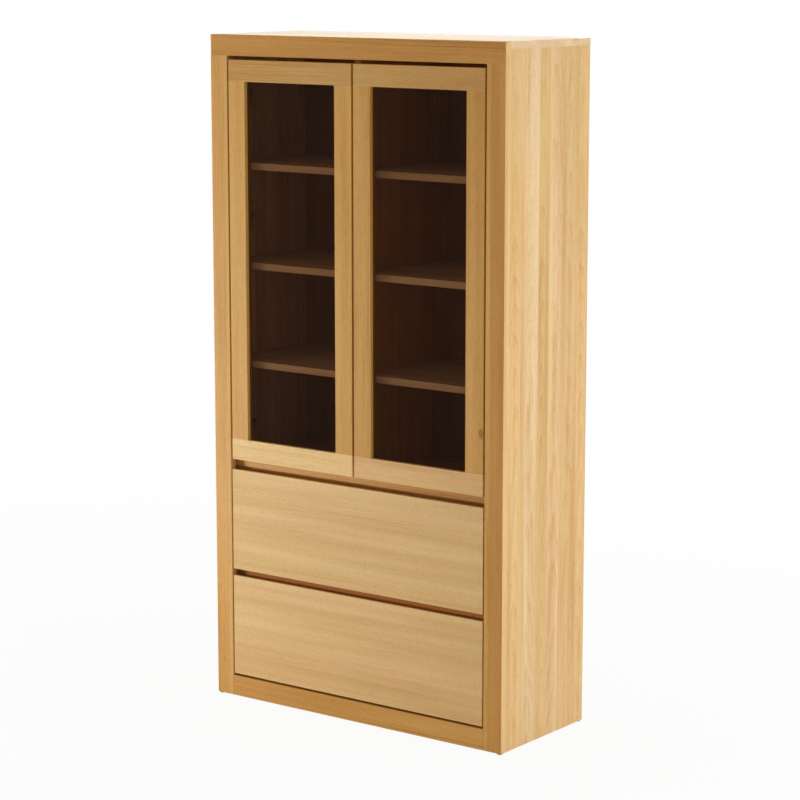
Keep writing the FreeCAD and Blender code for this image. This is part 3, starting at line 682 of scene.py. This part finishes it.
felt_radius = 2.8
felt_profile = [
    (0.0, 0.0), (2.75, 0.0), (felt_radius, 0.4), (felt_radius, 2.0), (2.5, 2.5), (0.0, 2.65),
]
felt_low, felt_high = corners_of("door_bumpers")
felt_places = [
    facing((x, felt_high.y, z), (0, -1, 0))
    for x in (felt_low.x + felt_radius, felt_high.x - felt_radius)
    for z in (felt_low.z + felt_radius, felt_high.z - felt_radius)
]
felt = turned(felt_profile, segments=20)
felts = set_of("felt_bumpers", felt, felt_places, grey_felt, "case")
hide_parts("door_bumpers")

glide_radius = 8.5
glide_profile = [
    (0.0, 0.9), (2.0, 0.9), (2.6, 0.5), (3.0, 0.0), (7.9, 0.0),
    (glide_radius, 0.7), (glide_radius, 3.0), (0.0, 3.0),
]
glide_low, glide_high = corners_of("floor_glides")
glide_places = [
    facing((x, y, 0), (0, 0, 1))
    for x in (glide_low.x + glide_radius, glide_high.x - glide_radius)
    for y in (glide_low.y + glide_radius, glide_high.y - glide_radius)
]
glide = turned(glide_profile, segments=32)
glides = set_of("moulded_glides", glide, glide_places, black_nylon, "case")
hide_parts("floor_glides")


# Screws of the hinges

hinge_screw = screw(radius=3.4)
hinge_from_end = 95.0
middle_hinge_rise = 690.0
door_foot = corners_of("left_door_bottom_rail")[0].z
door_head = corners_of("left_door_top_rail")[1].z
hinge_heights = (
    door_foot + hinge_from_end,
    door_foot + middle_hinge_rise,
    door_head - hinge_from_end,
)
cup_screw_rise = 24.5
plate_thickness = 2.0
plate_screw_rise = 16.0
plate_screw_from_front = 73.0
front_y = corners_of("face_top_rail")[0].y
for side_name, side in sides:
    cup_low, cup_high = corners_of(side_name + "_hinge_cups")
    cup_x = (cup_low.x + cup_high.x) / 2
    cup_places = []
    for number, z in enumerate(hinge_heights):
        for end in (-1, 1):
            spot = (cup_x, cup_high.y, z + end * cup_screw_rise)
            cup_places.append(facing(spot, (0, 1, 0), roll_of(number + end)))
    set_of(
        side_name + "_cup_screws", hinge_screw, cup_places, plated_steel,
        side_name + "_door",
    )
    arm_low, arm_high = corners_of(side_name + "_hinge_arms")
    plate_face = (arm_high.x if side > 0 else arm_low.x) - side * plate_thickness
    plate_places = []
    for number, z in enumerate(hinge_heights):
        for end in (-1, 1):
            spot = (plate_face, front_y + plate_screw_from_front, z + end * plate_screw_rise)
            plate_places.append(facing(spot, (-side, 0, 0), roll_of(number - end)))
    set_of(
        side_name + "_plate_screws", hinge_screw, plate_places, plated_steel,
        "case",
    )


# Screws and balls of the runners

runner_screw = screw(radius=3.0)
runner_metal = 1.2
runner_screw_shares = (0.08, 0.5, 0.9)
runner_depth = 12.7
cage_length = 170.0
balls_in_row = 12
ball_steps = 3

# How far a row of balls is from the case's side and from the runner's middle height.
outer_row = {"reach": 5.5, "rise": 19.15, "radius": 2.1}
inner_row = {"reach": 7.6, "rise": 14.15, "radius": 1.6}


def ball_of(radius):
    """A ball whose profile has some steps from its middle to each pole."""
    turns = [quarter_turn * step / ball_steps for step in range(-ball_steps, ball_steps + 1)]
    profile = [(radius * math.cos(turn), radius * math.sin(turn)) for turn in turns]
    return turned(profile, segments=10)


for name in drawer_names:
    rail_low, rail_high = corners_of(name + "_runner_case_rails")
    cage_start = (rail_low.y + rail_high.y - cage_length) / 2
    middle_z = (rail_low.z + rail_high.z) / 2
    case_places = []
    drawer_places = []
    for number, share in enumerate(runner_screw_shares):
        y = rail_low.y + (rail_high.y - rail_low.y) * share
        for side_name, side in sides:
            spot = (side * (rail_high.x - runner_metal), y, middle_z)
            case_places.append(facing(spot, (-side, 0, 0), roll_of(number)))
            inner_x = side * (rail_high.x - runner_depth + runner_metal)
            drawer_places.append(facing((inner_x, y, middle_z), (side, 0, 0), roll_of(-number)))
    set_of(
        name + "_case_rail_screws", runner_screw, case_places, plated_steel,
        "case",
    )
    set_of(
        name + "_drawer_rail_screws", runner_screw, drawer_places, plated_steel,
        name + "_drawer",
    )
    for row_name, row in (("outer", outer_row), ("inner", inner_row)):
        ball_places = []
        for side_name, side in sides:
            for level in (-row["rise"], row["rise"]):
                for number in range(balls_in_row):
                    y = cage_start + cage_length * (number + 0.5) / balls_in_row
                    spot = (side * (rail_high.x - row["reach"]), y, middle_z + level)
                    ball_places.append(facing(spot, (0, 0, 1)))
        set_of(
            name + "_runner_" + row_name + "_balls", ball_of(row["radius"]), ball_places,
            plated_steel, name + "_runner_middles",
        )


# Screws round the back panels

back_screw = screw(radius=2.6)
screw_pitch = 150.0
from_edge = 5.0


def places_along(start, end):
    """Even places from a start to an end, about a screw's pitch apart."""
    count = round((end - start) / screw_pitch)
    return [start + (end - start) * step / count for step in range(count + 1)]


back_places = []
for node in ("back_panel_upper", "back_panel_lower"):
    low, high = corners_of(node)
    left, right = low.x + from_edge, high.x - from_edge
    bottom, top = low.z + from_edge, high.z - from_edge
    between = places_along(bottom, top)[1:-1]
    rim = [(x, z) for z in (bottom, top) for x in places_along(left, right)]
    rim += [(x, z) for x in (left, right) for z in between]
    if node == "back_panel_upper":
        rim += [(0.0, z) for z in between]
    for number, (x, z) in enumerate(rim):
        back_places.append(facing((x, high.y, z), (0, 1, 0), roll_of(number)))
set_of("back_panel_screws", back_screw, back_places, plated_steel, "case")


# Floor, light and camera

panes = bpy.data.collections.new("panes")
for side_name, side in sides:
    panes.objects.link(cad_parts[side_name + "_door_glass"])
for pane in panes.collection_objects:
    pane.light_linking.link_state = "EXCLUDE"


def lamp(name, place, target, size, power, colour):
    """A softbox that the panes don't mirror."""
    light = bpy.data.lights.new(name, "AREA")
    light.shape = "RECTANGLE"
    light.size, light.size_y = size
    light.energy = power
    light.color = colour
    piece = bpy.data.objects.new(name, light)
    piece.light_linking.receiver_collection = panes
    bpy.context.collection.objects.link(piece)
    piece.location = place
    aim = Vector(target) - Vector(place)
    piece.rotation_euler = aim.to_track_quat("-Z", "Y").to_euler()


lamp(
    "side_softbox", place=(4.2, -0.2, 1.2), target=(0.5, 0.0, 0.9),
    size=(2.4, 2.4), power=94.0, colour=(0.98, 0.97, 0.93),
)
lamp(
    "top_softbox", place=(0.0, 0.1, 3.1), target=(0.0, 0.1, 1.9),
    size=(1.0, 0.4), power=15.0, colour=(0.92, 0.97, 1.0),
)
lamp(
    "front_softbox", place=(-3.2, -2.3, 0.35), target=(-0.1, -0.2, 0.6),
    size=(0.8, 0.6), power=100.0, colour=(1.0, 0.98, 0.93),
)
lamp(
    "rear_softbox", place=(-1.2, 4.6, 1.6), target=(0.0, 0.2, 0.9),
    size=(2.0, 2.0), power=90.0, colour=(1.0, 0.98, 0.94),
)


def seen_directly(tree):
    """1 for rays from the camera, a mirror or through glass, and else 0."""
    path = put(tree, "LightPath")
    seen = sums(
        tree, "MAXIMUM", path.outputs["Is Camera Ray"], path.outputs["Is Transmission Ray"]
    )
    return sums(tree, "MAXIMUM", seen, path.outputs["Is Glossy Ray"])


world = bpy.data.worlds.new("studio")
bpy.context.scene.world = world
world.use_nodes = True
studio = world.node_tree
ambient = (0.3, 0.262, 0.218, 1.0)
glow = blended(studio, "MIX", seen_directly(studio), ambient, white)
studio.links.new(glow, studio.nodes["Background"].inputs["Color"])
studio.nodes["Background"].inputs["Strength"].default_value = 1.0

floor_reach = 12.0
floor_mesh = bmesh.new()
bmesh.ops.create_grid(floor_mesh, x_segments=1, y_segments=1, size=floor_reach)
floor_data = bpy.data.meshes.new("studio_floor")
floor_mesh.to_mesh(floor_data)
floor_mesh.free()
floor = bpy.data.objects.new("studio_floor", floor_data)
bpy.context.collection.objects.link(floor)
floor_finish, floor_tree, floor_shader = new_finish("studio_floor")
floor_shader.inputs["Base Color"].default_value = (0.85, 0.85, 0.85, 1.0)
floor_shader.inputs["Roughness"].default_value = 0.9
backdrop = put(floor_tree, "Emission", {"Color": white, "Strength": 1.0})

# How much of the backdrop the floor takes on, from close to the cabinet to far from it.
fade_reach = (1.0, 4.0)
fade_shares = (0.94, 1.0)
far = length_of(floor_tree, put(floor_tree, "TexCoord").outputs["Object"])
far = spread(floor_tree, far, fade_reach, fade_shares)
share = sums(floor_tree, "MULTIPLY", seen_directly(floor_tree), far)
cover = put(floor_tree, "MixShader", {0: share})
floor_tree.links.new(floor_shader.outputs[0], cover.inputs[1])
floor_tree.links.new(backdrop.outputs[0], cover.inputs[2])
floor_tree.links.new(cover.outputs[0], floor_tree.nodes["Material Output"].inputs["Surface"])
floor_data.materials.append(floor_finish)

# The camera stands to the right of the cabinet's front and looks a little down.
camera_data = bpy.data.cameras.new("camera")
camera_data.lens = 115.45
camera_data.sensor_width = 36.0
camera = bpy.data.objects.new("camera", camera_data)
bpy.context.collection.objects.link(camera)
camera.location = (4.2575, -5.6581, 2.1313)
camera_yaw, camera_pitch = 0.6438, 0.1737
camera.rotation_euler = (quarter_turn - camera_pitch, 0.0, camera_yaw)
bpy.context.scene.camera = camera
bpy.context.scene.view_settings.view_transform = "Standard"
